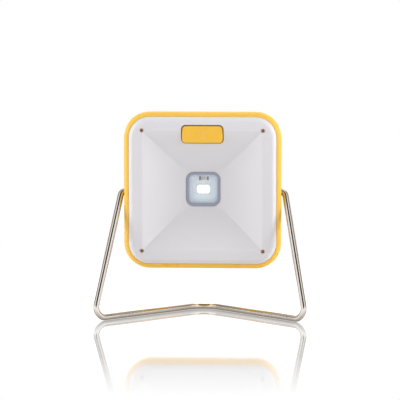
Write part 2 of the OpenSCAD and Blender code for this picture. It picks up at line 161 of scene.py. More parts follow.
def outline(half_w, half_h, r, arc=12, side=10):
    """Points (right, up) around a rounded rectangle, counter-clockwise."""
    corners = []
    for turn, (sx, sy) in enumerate([(1, 1), (-1, 1), (-1, -1), (1, -1)]):
        cx, cy = sx * (half_w - r), sy * (half_h - r)
        angles = [math.radians(90 * (turn + k / arc)) for k in range(arc + 1)]
        corners.append([(cx + r * math.cos(t), cy + r * math.sin(t)) for t in angles])
    points = []
    for turn in range(4):
        points += corners[turn]
        a, b = corners[turn][-1], corners[(turn + 1) % 4][0]
        points += [(a[0] + (b[0] - a[0]) * k / side, a[1] + (b[1] - a[1]) * k / side) for k in range(1, side)]
    return points


def ring(half_w, half_h, r, forward, up=0.0, arc=12, side=10):
    """A rounded rectangle at a depth, as points in metres."""
    return [place(x, y + up, forward) for x, y in outline(half_w, half_h, r, arc, side)]


def arc_points(cx, cy, r, start, end, steps):
    """Points on an arc from a start angle to an end angle, in degrees."""
    angles = [math.radians(start + (end - start) * k / steps) for k in range(steps + 1)]
    return [(cx + r * math.cos(t), cy + r * math.sin(t)) for t in angles]


def loft(rings, closed=False, caps=(True, True)):
    """A bmesh of quads between rings of equally many points."""
    bm = bmesh.new()
    made = [[bm.verts.new(p) for p in points] for points in rings]
    count = len(rings[0])
    pairs = list(zip(made, made[1:])) + ([(made[-1], made[0])] if closed else [])
    for a, b in pairs:
        for k in range(count):
            n = (k + 1) % count
            bm.faces.new((a[k], a[n], b[n], b[k]))
    if not closed and caps[0]:
        bm.faces.new(made[0])
    if not closed and caps[1]:
        bm.faces.new(made[-1])
    return bm


def lathe(profile, centre, steps=48):
    """A bmesh turned about the forward axis at centre (right, up), from (radius, forward) points."""
    rings = [[place(centre[0] + r * math.cos(2 * math.pi * k / steps),
                    centre[1] + r * math.sin(2 * math.pi * k / steps), w)
              for k in range(steps)] for r, w in profile]
    return loft(rings)


def boolean(target, cutters, operation):
    """Cuts or joins other objects with a target, and removes them."""
    for cutter in cutters:
        step = target.modifiers.new("cut", "BOOLEAN")
        step.operation = operation
        step.solver = "EXACT"
        step.object = cutter
        apply_modifiers(target)
        bpy.data.objects.remove(cutter)


def apply_modifiers(target):
    """Makes the modifiers' result the object's mesh."""
    graph = bpy.context.evaluated_depsgraph_get()
    mesh = bpy.data.meshes.new_from_object(target.evaluated_get(graph))
    target.modifiers.clear()
    target.data = mesh


def soften(target, width, angle=40, segments=2):
    """Rounds the edges sharper than an angle, in degrees, by a width in mm."""
    step = target.modifiers.new("soften", "BEVEL")
    step.width = width * MM
    step.segments = segments
    step.limit_method = "ANGLE"
    step.angle_limit = math.radians(angle)
    step.harden_normals = True
    step.miter_outer = "MITER_ARC"
    apply_modifiers(target)


def borrow_normals(target, uncut):
    """Gives the cut surface the shading of the uncut one, so that holes leave no creases beside them.

    A face counts as uncut surface when it lies on it and faces the same way.
    """
    reach, same_way, inward = 0.03 * MM, 0.93, 0.02
    source = uncut.data
    triangles = source.loop_triangles
    points = [v.co for v in source.vertices]
    tree = BVHTree.FromPolygons(points, [t.vertices for t in triangles])
    mesh = target.data
    normals = [n.vector.copy() for n in mesh.corner_normals]
    for face in mesh.polygons:
        _, along, _, distance = tree.find_nearest(face.center)
        if distance > reach or abs(along.dot(face.normal)) < same_way:
            continue
        for loop in face.loop_indices:
            spot = mesh.vertices[mesh.loops[loop].vertex_index].co.lerp(face.center, inward)
            near, _, index, _ = tree.find_nearest(spot)
            corners = triangles[index]
            weights = poly_3d_calc([points[v] for v in corners.vertices], near)
            parts = [source.corner_normals[c].vector * w for c, w in zip(corners.loops, weights)]
            normals[loop] = sum(parts, Vector()).normalized()
    mesh.normals_split_custom_set(normals)


def finish_piece(target, node, body, material):
    """Gives a piece its material and body, and lets it stand for a CAD node."""
    target.data.materials.clear()
    target.data.materials.append(material)
    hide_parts(node)
    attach(target, body)


# ---- Materials ----


class Graph:
    """A node tree under construction."""

    def __init__(self, tree):
        self.tree = tree

    def add(self, kind, **settings):
        made = self.tree.nodes.new(kind)
        for key, value in settings.items():
            setattr(made, key, value)
        return made

    def link(self, a, b):
        self.tree.links.new(a, b)

    def where(self):
        """Position in the object's own space, which is the row frame at rest."""
        return self.add("ShaderNodeTexCoord").outputs["Object"]

    def noise(self, scale, detail=3.0, roughness=0.5, stretch=None):
        """Noise of a scale given in cells per metre, stretched along the axes where asked."""
        source = self.where()
        if stretch:
            mapping = self.add("ShaderNodeMapping")
            mapping.inputs["Scale"].default_value = stretch
            self.link(source, mapping.inputs["Vector"])
            source = mapping.outputs["Vector"]
        made = self.add("ShaderNodeTexNoise")
        made.inputs["Scale"].default_value = scale
        made.inputs["Detail"].default_value = detail
        made.inputs["Roughness"].default_value = roughness
        self.link(source, made.inputs["Vector"])
        return made.outputs["Fac"]

    def ramp(self, factor, stops):
        """Colours along a factor, as (place, colour) stops."""
        made = self.add("ShaderNodeValToRGB")
        while len(made.color_ramp.elements) < len(stops):
            made.color_ramp.elements.new(0.5)
        for element, (spot, colour) in zip(made.color_ramp.elements, stops):
            element.position = spot
            element.color = (*colour, 1.0) if len(colour) == 3 else colour
        self.link(factor, made.inputs["Fac"])
        return made.outputs["Color"]

    def span(self, factor, low, high, to_low, to_high):
        """A factor carried from one range to another."""
        made = self.add("ShaderNodeMapRange")
        for key, value in zip(("From Min", "From Max", "To Min", "To Max"), (low, high, to_low, to_high)):
            made.inputs[key].default_value = value
        self.link(factor, made.inputs["Value"])
        return made.outputs["Result"]

    def blend(self, factor, a, b):
        """A value between a and b, by a factor."""
        made = self.add("ShaderNodeMix", data_type="FLOAT")
        for socket, value in zip(made.inputs, (factor, None, a, b)):
            if isinstance(value, (int, float)):
                socket.default_value = value
            elif value is not None:
                self.link(value, socket)
        return made.outputs["Result"]

    def mix_colours(self, factor, a, b):
        """A colour between the colours a and b, by a factor."""
        made = self.add("ShaderNodeMix", data_type="RGBA")
        for socket, value in zip((made.inputs["Factor"], made.inputs[6], made.inputs[7]), (factor, a, b)):
            if isinstance(value, tuple):
                socket.default_value = (*value, 1.0)
            else:
                self.link(value, socket)
        return made.outputs[2]

    def split(self, source):
        """The X, Y and Z of a vector."""
        made = self.add("ShaderNodeSeparateXYZ")
        self.link(source, made.inputs["Vector"])
        return [made.outputs[name] for name in "XYZ"]

    def maths(self, operation, a, b):
        made = self.add("ShaderNodeMath", operation=operation)
        for socket, value in zip(made.inputs, (a, b)):
            if isinstance(value, (int, float)):
                socket.default_value = value
            else:
                self.link(value, socket)
        return made.outputs["Value"]


class Nodes(Graph):
    """A material under construction: its node tree and its Principled shader."""

    def __init__(self, name, roughness, metallic=0.0, **sockets):
        self.material = bpy.data.materials.new(name)
        self.material.use_nodes = True
        super().__init__(self.material.node_tree)
        self.shader = self.tree.nodes["Principled BSDF"]
        self.shader.inputs["Roughness"].default_value = roughness
        self.shader.inputs["Metallic"].default_value = metallic
        for socket, value in sockets.items():
            self.shader.inputs[socket.replace("_", " ")].default_value = value

    def colour(self, output):
        self.link(output, self.shader.inputs["Base Color"])

    def roughness(self, output):
        self.link(output, self.shader.inputs["Roughness"])

    def bump(self, height, strength, distance):
        """Surface relief: distance is in mm."""
        made = self.add("ShaderNodeBump")
        made.inputs["Strength"].default_value = strength
        made.inputs["Distance"].default_value = distance * MM
        self.link(height, made.inputs["Height"])
        self.link(made.outputs["Normal"], self.shader.inputs["Normal"])


def shade(colour, factor):
    return tuple(c * factor for c in colour)


def moulded(name, colour, roughness, texture=0.02, grain=2600.0, drift=0.03, **sockets):
    """Moulded plastic: a fine tool texture, slight drift of tone and handling marks in the gloss."""
    m = Nodes(name, roughness, **sockets)
    tone = m.noise(22.0, 2.0)
    m.colour(m.ramp(tone, [(0.3, shade(colour, 1 - drift)), (0.7, shade(colour, 1 + drift))]))
    smudge = m.noise(60.0, 4.0, 0.6, stretch=(1.0, 1.0, 0.45))
    m.roughness(m.span(smudge, 0.3, 0.7, roughness - 0.05, roughness + 0.07))
    m.bump(m.noise(grain, 2.0, 0.6), 0.35, texture)
    return m.material


def yellow_plastic():
    return moulded("yellow_plastic", (0.93, 0.545, 0.055), 0.3, Coat_Weight=0.2, Coat_Roughness=0.2)


def button_plastic():
    """The shell's plastic, with the groove of its sunk power mark painted paler: a painted highlight."""
    m = Nodes("button_plastic", 0.36)
    tone = m.ramp(m.noise(22.0, 2.0), [(0.3, (0.88, 0.50, 0.038)), (0.7, (0.93, 0.53, 0.043))])
    x, y, z = m.split(m.where())
    mark_reach, shallow, deep = 3.9, 0.1, 1.0
    up = m.maths("SUBTRACT", z, MIDDLE + BUTTON_UP * MM)
    square = m.maths("ADD", m.maths("POWER", x, 2.0), m.maths("POWER", up, 2.0))
    near = m.maths("LESS_THAN", square, (mark_reach * MM) ** 2)
    sunk = m.maths("GREATER_THAN", y, PIVOT.y - (BUTTON_FACE - shallow) * MM)
    front = m.maths("LESS_THAN", y, PIVOT.y - (BUTTON_FACE - deep) * MM)
    mark = m.maths("MULTIPLY", m.maths("MULTIPLY", near, sunk), front)
    # Painted highlight: inside the mark's groove the yellow is made paler than the plastic around it.
    m.colour(m.mix_colours(mark, tone, (0.94, 0.62, 0.16)))
    m.roughness(m.span(m.noise(60.0, 4.0, 0.6), 0.3, 0.7, 0.31, 0.43))
    m.bump(m.noise(2200.0, 2.0, 0.6), 0.35, 0.02)
    return m.material


def white_plastic():
    return moulded("white_plastic", (0.72, 0.705, 0.735), 0.34, texture=0.012, drift=0.012)


def nylon():
    return moulded("nylon", (0.72, 0.70, 0.64), 0.5)


def rubber(name, colour, roughness=0.6):
    """Silicone or soft insulation: matt, with faint dust."""
    m = Nodes(name, roughness)
    dust = m.noise(180.0, 5.0, 0.65)
    m.colour(m.ramp(dust, [(0.35, colour), (0.8, tuple(c * 0.9 + 0.05 for c in colour))]))
    m.roughness(m.span(dust, 0.3, 0.7, roughness - 0.06, roughness + 0.1))
    m.bump(m.noise(3000.0, 2.0), 0.3, 0.01)
    return m.material


def notch_painted_reflection(m):
    """Colours along the hanging notch: a painted reflection, dull gold in the middle, and painted highlights,
    bright where it ends.
    """
    dull, bright, plain = (0.28, 0.175, 0.06), (0.92, 0.84, 0.68), (0.56, 0.525, 0.48)
    x, _, _ = m.split(m.where())
    beside = m.span(m.maths("ABSOLUTE", x, 0.0), 0.0, 8 * MM, 0.0, 1.0)
    return m.ramp(beside, [(0.40, dull), (0.56, bright), (0.78, bright), (0.86, plain)])


def notch_mask(m):
    """Where the wire is pressed: the top of its rear point, in a shallow bow."""
    bow, behind, below_top = 38.0, 8.0, 1.9
    x, y, z = m.split(m.where())
    rise = m.maths("SUBTRACT", z, m.maths("MULTIPLY", m.maths("POWER", x, 2.0), bow))
    rear = m.maths("GREATER_THAN", y, PIVOT.y + behind * MM)
    return m.maths("MULTIPLY", rear, m.maths("GREATER_THAN", rise, (2 * WIRE_R - below_top) * MM))


def bright_wire():
    """Drawn stainless wire: bright, with fine die lines, a little handling wear, and a painted reflection and
    highlights on its pressed notch.
    """
    m = Nodes("bright_wire", 0.16, metallic=1.0)
    along = m.add("ShaderNodeUVMap", uv_map="wire")
    mapping = m.add("ShaderNodeMapping")
    mapping.inputs["Scale"].default_value = (3.0, 30.0, 1.0)
    m.link(along.outputs["UV"], mapping.inputs["Vector"])
    lines = m.add("ShaderNodeTexNoise")
    lines.inputs["Scale"].default_value = 1.0
    lines.inputs["Detail"].default_value = 4.0
    m.link(mapping.outputs["Vector"], lines.inputs["Vector"])
    wear = m.noise(70.0, 3.0, 0.6)
    tone = m.ramp(wear, [(0.3, (0.54, 0.50, 0.455)), (0.7, (0.58, 0.545, 0.505))])
    # Painted reflection and painted highlights on the pressed notch, laid over the wear tone.
    m.colour(m.mix_colours(notch_mask(m), tone, notch_painted_reflection(m)))
    m.roughness(m.span(m.maths("MULTIPLY", lines.outputs["Fac"], wear), 0.1, 0.45, 0.13, 0.18))
    m.bump(m.noise(260.0, 2.0), 0.05, 0.02)
    return m.material


def metal(name, colour, roughness, texture=0.01):
    """Plated or blued metal with uneven gloss."""
    m = Nodes(name, roughness, metallic=1.0)
    wear = m.noise(400.0, 4.0, 0.6)
    m.colour(m.ramp(wear, [(0.3, shade(colour, 0.82)), (0.7, shade(colour, 1.1))]))
    m.roughness(m.span(wear, 0.3, 0.7, roughness - 0.06, roughness + 0.1))
    m.bump(m.noise(2500.0, 3.0), 0.3, texture)
    return m.material


def clear_plastic(name, colour, alpha, roughness):
    """Clear moulded plastic with faint scratches in its gloss."""
    m = Nodes(name, roughness, Alpha=alpha, Coat_Weight=0.6, Coat_Roughness=0.05)
    haze = m.noise(90.0, 3.0)
    m.colour(m.ramp(haze, [(0.3, shade(colour, 0.96)), (0.7, shade(colour, 1.04))]))
    scratches = m.noise(300.0, 5.0, 0.7, stretch=(1.0, 1.0, 0.08))
    m.roughness(m.span(scratches, 0.45, 0.75, roughness, roughness + 0.1))
    return m.material


def solder_mask():
    """White mask over copper, with a painted glow that stands for the LED lighting it: the tracks stand
    slightly proud.
    """
    # Painted light: a faint bluish emission brightens the board as the LED's light would.
    m = Nodes("solder_mask", 0.35, Emission_Color=(0.62, 0.70, 0.78, 1.0), Emission_Strength=0.185)
    tracks = m.add("ShaderNodeTexBrick", offset=0.37)
    tracks.inputs["Scale"].default_value = 170.0
    tracks.inputs["Mortar Size"].default_value = 0.035
    swap = m.add("ShaderNodeMapping")
    swap.inputs["Rotation"].default_value = (math.radians(90), 0.0, 0.0)
    m.link(m.where(), swap.inputs["Vector"])
    m.link(swap.outputs["Vector"], tracks.inputs["Vector"])
    m.colour(m.ramp(tracks.outputs["Fac"], [(0.0, (0.88, 0.93, 0.97)), (1.0, (0.76, 0.84, 0.90))]))
    m.bump(tracks.outputs["Fac"], 0.4, 0.03)
    return m.material


def glowing_phosphor():
    """Phosphor lit from within, its white a little warmer in random patches."""
    m = Nodes("glowing_phosphor", 0.4, Emission_Strength=1.7)
    warmth = m.noise(400.0, 2.0)
    colour = m.ramp(warmth, [(0.3, (1.0, 0.97, 0.86)), (0.7, (1.0, 0.99, 0.95))])
    m.colour(colour)
    m.link(colour, m.shader.inputs["Emission Color"])
    return m.material


def ceramic(name, colour, roughness=0.45):
    m = Nodes(name, roughness)
    speck = m.noise(1500.0, 3.0, 0.7)
    m.colour(m.ramp(speck, [(0.3, shade(colour, 0.8)), (0.7, shade(colour, 1.15))]))
    m.roughness(m.span(speck, 0.3, 0.7, roughness - 0.05, roughness + 0.1))
    m.bump(m.noise(3000.0, 2.0), 0.3, 0.01)
    return m.material


def silicon():
    """Monocrystalline cell: dark blue nitride with fine printed silver fingers."""
    m = Nodes("silicon", 0.22, Coat_Weight=0.3, Coat_Roughness=0.1)
    finger_pitch, finger_share = 1.9, 0.065
    x, _, _ = m.split(m.where())
    count = m.maths("MULTIPLY", x, 1 / (finger_pitch * MM))
    finger = m.maths("LESS_THAN", m.maths("FRACT", count, 0.0), finger_share)
    cloud = m.noise(45.0, 3.0)
    blue = m.ramp(cloud, [(0.3, (0.008, 0.016, 0.060)), (0.7, (0.016, 0.034, 0.115))])
    m.colour(m.mix_colours(finger, blue, (0.42, 0.44, 0.47)))
    m.bump(finger, 0.3, 0.02)
    return m.material


def foam():
    m = Nodes("foam", 0.9)
    cells = m.add("ShaderNodeTexVoronoi")
    cells.inputs["Scale"].default_value = 1800.0
    m.link(m.where(), cells.inputs["Vector"])
    m.colour(m.ramp(cells.outputs["Distance"], [(0.0, (0.006, 0.006, 0.007)), (0.7, (0.03, 0.03, 0.033))]))
    m.bump(cells.outputs["Distance"], 0.8, 0.1)
    return m.material


# ---- Front reflector ----


def pyramid_rings():
    """Rings from the crest down to the window: corners stay sharp, and round out near the window."""
    rings = []
    rounding = 9
    even = [k / 14 for k in range(12)]
    closer = [0.84, 0.88, 0.91, 0.94, 0.97, 1.0]
    for t in even + closer:
        half = PYRAMID_HALF + (WINDOW_HALF - PYRAMID_HALF) * t
        corner = CREASE + (WINDOW_CORNER - CREASE) * t ** rounding
        drop = t + PYRAMID_SAG * t * (1 - t)
        forward = CREST - (CREST - WINDOW_PLANE) * drop
        rings.append((half, corner, forward))
    return rings


def crest_rings():
    """The flat band, and the soft turn from it into the pyramid."""
    return [(PYRAMID_HALF + 2.6, 4.5, CREST),
            (PYRAMID_HALF + 0.5, CREASE + 0.6, CREST),
            (PYRAMID_HALF + 0.2, CREASE + 0.2, CREST - 0.012),
            (PYRAMID_HALF - 0.12, CREASE + 0.05, CREST - 0.10)]


def collar_rings(window):
    """The collar that holds the lens: rounded into the window's edge, back, and forward again outside."""
    half, corner, forward = window
    outer, outer_corner = WINDOW_HALF + COLLAR_WALL, WINDOW_CORNER + COLLAR_WALL
    return [(half + 0.35, corner + 0.35, forward + 0.14), (half + 0.08, corner + 0.08, forward - 0.05),
            (half, corner, forward - 0.3), (half, corner, COLLAR_BACK),
            (outer, outer_corner, COLLAR_BACK), (outer, outer_corner, WINDOW_PLANE - WALL + 0.4)]


def rim_back_rings():
    """The back of the flat band and of the rolled edge, a wall inside the front."""
    inner, inner_corner = PANEL_HALF - WALL, PANEL_CORNER - WALL
    return [(PYRAMID_HALF + 0.6, CREASE + 1.5, CREST - WALL), (inner - 2.2, 9.4, CREST - WALL),
            (inner - 0.6, 11.0, CREST - WALL - 0.9), (inner, inner_corner, PANEL_BACK + 1.2),
            (inner, inner_corner, PANEL_BACK)]


def reflector_rings():
    """(half width, corner radius, forward) of the reflector's rings, front then back."""
    chamfer = 0.25
    edge = PANEL_HALF
    rings = [(edge - chamfer, PANEL_CORNER - chamfer, PANEL_BACK), (edge, PANEL_CORNER, PANEL_BACK + chamfer)]
    for x, w in arc_points(edge - PANEL_ROLL, CREST - PANEL_ROLL, PANEL_ROLL, 0, 90, 14):
        rings.append((x, PANEL_CORNER - edge + x, w))
    pyramid = pyramid_rings()
    rings += crest_rings() + pyramid[1:-1] + collar_rings(pyramid[-1])
    for half, corner, forward in reversed(pyramid[1:-3]):
        rings.append((half + 0.4, corner + 0.4, forward - WALL - 0.1))
    return rings + rim_back_rings()


def corner_spots(distance):
    return [(x * distance, y * distance) for x in (-1, 1) for y in (-1, 1)]


def screw_tubes(name, r, low, high):
    """A round bar at each screw, between two depths."""
    return [new_object(name, lathe([(r, low), (r, high)], at)) for at in corner_spots(SCREW_HALF)]


def build_reflector(material):
    """The white front: lofted rings, screw posts joined on, and holes for the screws and the button."""
    rings = [ring(half, half, corner, forward) for half, corner, forward in reflector_rings()]
    panel = new_object("reflector_panel", loft(rings, closed=True))
    uncut = new_object("uncut", loft(rings, closed=True))
    boolean(panel, screw_tubes("post", POST_R, 1.0, CREST - 1.0), "UNION")
    holes = screw_tubes("hole", SCREW_HEAD + 0.1, SCREW_SEAT, CREST + 1)
    holes += screw_tubes("bore", BORE_R, 0.0, CREST)
    half_w, half_h, corner = BUTTON_HOLE
    slot = [ring(half_w, half_h, corner, w, BUTTON_UP) for w in (2.0, CREST + 1)]
    holes.append(new_object("slot", loft(slot)))
    boolean(panel, holes, "DIFFERENCE")
    soften(panel, 0.16)
    borrow_normals(panel, uncut)
    bpy.data.objects.remove(uncut)
    finish_piece(panel, "front_reflector", "housing", material)


# ---- Button ----


def power_mark():
    """Cutters for the power mark: a ring open at the top, and a bar in the opening."""
    top = BUTTON_FACE + 0.5
    inner, outer = MARK_RADII
    open_half = 28
    steps = 40
    rings = []
    for k in range(steps + 1):
        t = math.radians(90 + open_half + (360 - 2 * open_half) * k / steps)
        ends = [(inner, MARK_FLOOR), (outer, MARK_FLOOR), (outer, top), (inner, top)]
        rings.append([place(r * math.cos(t), BUTTON_UP + r * math.sin(t), w) for r, w in ends])
    arc = new_object("mark_arc", loft(rings))
    bar = new_object("mark_bar", loft([ring(0.3, 1.6, 0.28, w, BUTTON_UP + 2.1, arc=6, side=2)
                                       for w in (MARK_FLOOR, top)]))
    return [arc, bar]


def build_button(material):
    """The button: a slightly crowned face, rounded edges, a flange that keeps it in, and a stem."""
    half_w, half_h, corner = (BUTTON_HOLE[0] - BUTTON_GAP, BUTTON_HOLE[1] - BUTTON_GAP, 2.5)
    rings = []
    for inset, forward in [(4.2, 0.0), (3.0, -0.01), (2.0, -0.03)]:
        rings.append(ring(half_w - inset, half_h - inset, 1.2, BUTTON_FACE + forward, BUTTON_UP))
    for x, w in arc_points(-BUTTON_EDGE, -BUTTON_EDGE - 0.04, BUTTON_EDGE, 90, 0, 8):
        rings.append(ring(half_w + x, half_h + x, corner + x, BUTTON_FACE + w, BUTTON_UP))
    flange_w, flange_h, flange_thickness = BUTTON_FLANGE
    flange_top = BUTTON_SEAT + flange_thickness
    flange = (half_w + flange_w, half_h + flange_h, 3.0)
    stem, stem_end = (STEM_R,) * 3, (STEM_R - 0.3,) * 3
    steps = [((half_w, half_h, corner), flange_top), (flange, flange_top), (flange, BUTTON_SEAT),
             (stem, BUTTON_SEAT), (stem, BUTTON_BACK + 0.3), (stem_end, BUTTON_BACK)]
    rings += [ring(*shape, forward, BUTTON_UP) for shape, forward in steps]
    button = new_object("button_cap", loft(rings))
    boolean(button, power_mark(), "DIFFERENCE")
    soften(button, 0.06, angle=50)
    finish_piece(button, "power_button", "button", material)


# ---- Window ----


def build_seal(material):
    """The bead around the window: a rounded top, flatter than a half circle."""
    outer, inner = WINDOW_HALF - 0.05, WINDOW_HALF - SEAL_BORDER
    middle, width = (outer + inner) / 2, (outer - inner) / 2
    spring, flatness, foot = WINDOW_PLANE - 0.3, 0.42, -1.0
    rings = [ring(outer, outer, WINDOW_CORNER - 0.05, foot)]
    for x, w in arc_points(middle, 0, width, 0, 180, 12):
        rings.append(ring(x, x, WINDOW_CORNER - outer + x, spring + w * flatness))
    rings.append(ring(inner, inner, WINDOW_CORNER - SEAL_BORDER, foot))
    seal = new_object("window_bead", loft(rings, closed=True))
    finish_piece(seal, "window_seal", "housing", material)


def build_lens(material):
    """Clear pillow-shaped lens with a step that the bead holds down."""
    half = WINDOW_HALF - SEAL_BORDER - 0.05
    corner = WINDOW_CORNER - SEAL_BORDER
    top, dome, step = WINDOW_PLANE - 0.1, 1.1, -1.02
    rings = []
    for t in (k / 12 for k in range(1, 13)):
        rings.append(ring(half * t, half * t, max(0.05, corner * t), top - dome * t ** 4))
    foot = WINDOW_HALF - 0.1
    rings += [ring(half, half, corner, step), ring(foot, foot, WINDOW_CORNER, step),
              ring(foot, foot, WINDOW_CORNER, COLLAR_BACK)]
    lens = new_object("clear_lens", loft(rings))
    finish_piece(lens, "window_lens", "housing", material)


# ---- Wire stand ----


def bend_points(a, v, b, r, steps):
    """Points along a round bend at the corner v, between the directions to a and to b."""
    to_a, to_b = (a - v).normalized(), (b - v).normalized()
    corner = to_a.angle(to_b)
    centre = v + (to_a + to_b).normalized() * r / math.sin(corner / 2)
    start = v + to_a * r / math.tan(corner / 2) - centre
    end = v + to_b * r / math.tan(corner / 2) - centre
    bend = math.pi - corner
    points = []
    for k in range(steps + 1):
        turned = bend * k / steps
        points.append(centre + (start * math.sin(bend - turned) + end * math.sin(turned)) / math.sin(bend))
    return points


def wire_route():
    """The stand's centre line in mm, in the row frame."""
    y, z = PIVOT.y / MM, PIVOT.z / MM
    foot = Vector((-FOOT_HALF, y - FOOT_FORWARD, WIRE_R))
    left = [Vector((-WIRE_END, y, z)), Vector((-LEG_TOP, y, z)), foot]
    right = [Vector((-corner.x, corner.y, corner.z)) for corner in reversed(left)]
    corners = left + [Vector((0, y + HOOK_BACK, WIRE_R))] + right
    bends = [PIVOT_BEND, FOOT_BEND, HOOK_BEND, FOOT_BEND, PIVOT_BEND]
    route = [corners[0]]
    for i, r in enumerate(bends, 1):
        route += bend_points(corners[i - 1], corners[i], corners[i + 1], r, 24)
    return route + [corners[-1]]


def divide(route, step):
    """The route with points added so that none are further apart than a step."""
    fine = [route[0]]
    for a, b in zip(route, route[1:]):
        count = max(1, math.ceil((b - a).length / step))
        fine += [a.lerp(b, k / count) for k in range(1, count + 1)]
    return fine


def wire_radius(x):
    """Radius of the wire: its ends are chamfered, and grooved for the clips."""
    inset = abs(x) - WIRE_END
    if inset < WIRE_CHAMFER:
        return WIRE_R - WIRE_CHAMFER + inset
    return GROOVE_R if GROOVE[0] < inset < GROOVE[1] else WIRE_R


def wire_stations(route):
    """Places along the wire, with the edges of the ends' chamfers and grooves added."""
    ends = [0.0, WIRE_CHAMFER] + [edge + side for edge in GROOVE for side in (-0.005, 0.005)]
    first = [Vector((-WIRE_END - d, route[0].y, route[0].z)) for d in ends]
    last = [Vector((WIRE_END + d, route[0].y, route[0].z)) for d in reversed(ends)]
    return first + divide(route, 1.2)[2:-2] + last


def wire_rings(stations, sides):
    """Circles round the stations, in mm, with the hanging notch pressed into the top of the rear point."""
    notch_r = (NOTCH_LENGTH ** 2 / 4 + NOTCH_DEPTH ** 2) / (2 * NOTCH_DEPTH)
    notch_z = 2 * WIRE_R - NOTCH_DEPTH + notch_r
    pivot_y, pivot_z = PIVOT.y / MM, PIVOT.z / MM
    across = Vector((0, 1, 0))
    rings = []
    for i, spot in enumerate(stations):
        before, after = stations[max(i - 1, 0)], stations[min(i + 1, len(stations) - 1)]
        heading = (after - before).normalized()
        across = (across - heading * across.dot(heading)).normalized()
        side = heading.cross(across)
        r = wire_radius(spot.x) if abs(spot.z - pivot_z) < 0.01 else WIRE_R
        points = []
        for t in (2 * math.pi * k / sides for k in range(sides)):
            p = spot + (across * math.cos(t) + side * math.sin(t)) * r
            if p.y > pivot_y and abs(p.x) < NOTCH_LENGTH / 2 and p.z < 3 * WIRE_R:
                p.z = min(p.z, notch_z - math.sqrt(notch_r ** 2 - p.x ** 2))
            points.append(p)
        rings.append(points)
    return rings


def build_wire(material):
    """Sweeps a circle along the route, and lays the drawn lines' map along it."""
    sides, map_length = 40, 100
    stations = wire_stations(wire_route())
    bm = bmesh.new()
    uv = bm.loops.layers.uv.new("wire")
    rings = [[bm.verts.new(p * MM) for p in points] for points in wire_rings(stations, sides)]
    lengths = [0.0]
    for before, spot in zip(stations, stations[1:]):
        lengths.append(lengths[-1] + (spot - before).length)
    for i in range(len(rings) - 1):
        for k in range(sides):
            n = (k + 1) % sides
            face = bm.faces.new((rings[i][k], rings[i][n], rings[i + 1][n], rings[i + 1][k]))
            places = ((lengths[i], k), (lengths[i], k + 1), (lengths[i + 1], k + 1), (lengths[i + 1], k))
            for corner, (along, around) in zip(face.loops, places):
                corner[uv].uv = (along / map_length, around / sides)
    bm.faces.new(rings[0])
    bm.faces.new(rings[-1])
    stand = new_object("bent_wire", bm, sharp=50)
    finish_piece(stand, "wire_stand", "stand", material)


# ---- Screws ----


def screw_profile(low):
    """(radius, forward) of a screw from its tip up: ridged shank, straight neck and domed head."""
    core, neck = SCREW_SHANK - 0.2, SCREW_SHANK - 0.1
    head_low, dome_low, dome = SCREW_SEAT - 1.0, SCREW_SEAT - 0.35, 0.42
    profile = [(0.05, low), (0.5, low + 0.3)]
    w = low + 0.6
    while w < SCREW_SEAT - 2.2:
        profile += [(core, w), (SCREW_SHANK, w + SCREW_PITCH * 0.35), (SCREW_SHANK, w + SCREW_PITCH * 0.45)]
        w += SCREW_PITCH
    profile += [(neck, w), (neck, head_low), (SCREW_HEAD - 0.12, head_low), (SCREW_HEAD, head_low + 0.12),
                (SCREW_HEAD, dome_low)]
    profile += [(SCREW_HEAD * math.cos(t), dome_low + dome * math.sin(t))
                for t in (math.radians(15 * k) for k in range(1, 6))]
    return profile + [(0.05, SCREW_SEAT + 0.075)]


def cross_recess(at):
    """Cutters for a screw's cross recess: two crossed bars."""
    long, narrow = 0.75, 0.17
    bars = []
    for a, b in [(long, narrow), (narrow, long)]:
        corners = ((a, b), (-a, b), (-a, -b), (a, -b))
        rings = [[place(at[0] + x, at[1] + y, w) for x, y in corners]
                 for w in (SCREW_SEAT - 0.5, SCREW_SEAT + 1)]
        bars.append(new_object("cross", loft(rings)))
    return bars


def build_screws(material):
    """Four sunk screws."""
    profile = screw_profile(back_of("corner_screws"))
    pieces = []
    for at in corner_spots(SCREW_HALF):
        screw = new_object("screw", lathe(profile, at, 32))
        boolean(screw, cross_recess(at), "DIFFERENCE")
        pieces.append(screw)
    joined = join("sunk_screws", pieces)
    finish_piece(joined, "corner_screws", "housing", material)


def join(name, pieces):
    """One object of several, all in the row frame."""
    bm = bmesh.new()
    for piece in pieces:
        bm.from_mesh(piece.data)
        bpy.data.objects.remove(piece)
    return new_object(name, bm)


# ---- Light source ----


def build_glow(material):
    """Phosphor dome with a softly rounded edge, a little inside its solid."""
    low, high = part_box("led_phosphor")
    up = (middle_of("led_phosphor") - MIDDLE) / MM
    half_w, half_h = high.x / MM - 0.1, (high.z - low.z) / 2 / MM - 0.15
    back, front = back_of("led_phosphor"), front_of("led_phosphor")
    corner = 1.6
    rings = [ring(half_w, half_h, corner, back, up)]
    rings += [ring(half_w + x, half_h + x, corner + x, back + w, up)
              for x, w in arc_points(-0.5, 0, front - back, 0, 90, 6)]
    rings.append(ring(half_w - 2, half_h - 2, 0.4, front, up))
    dome = new_object("phosphor_dome", loft(rings))
    finish_piece(dome, "led_phosphor", "housing", material)


# ---- Carried-over nodes ----


def dress(materials):
    """Gives every CAD node that still shows its material."""
    for material, names in materials:
        for name in names:
            node = NODES[name]
            node.data.materials.clear()
            node.data.materials.append(material)


# ---- Stage, light and camera ----


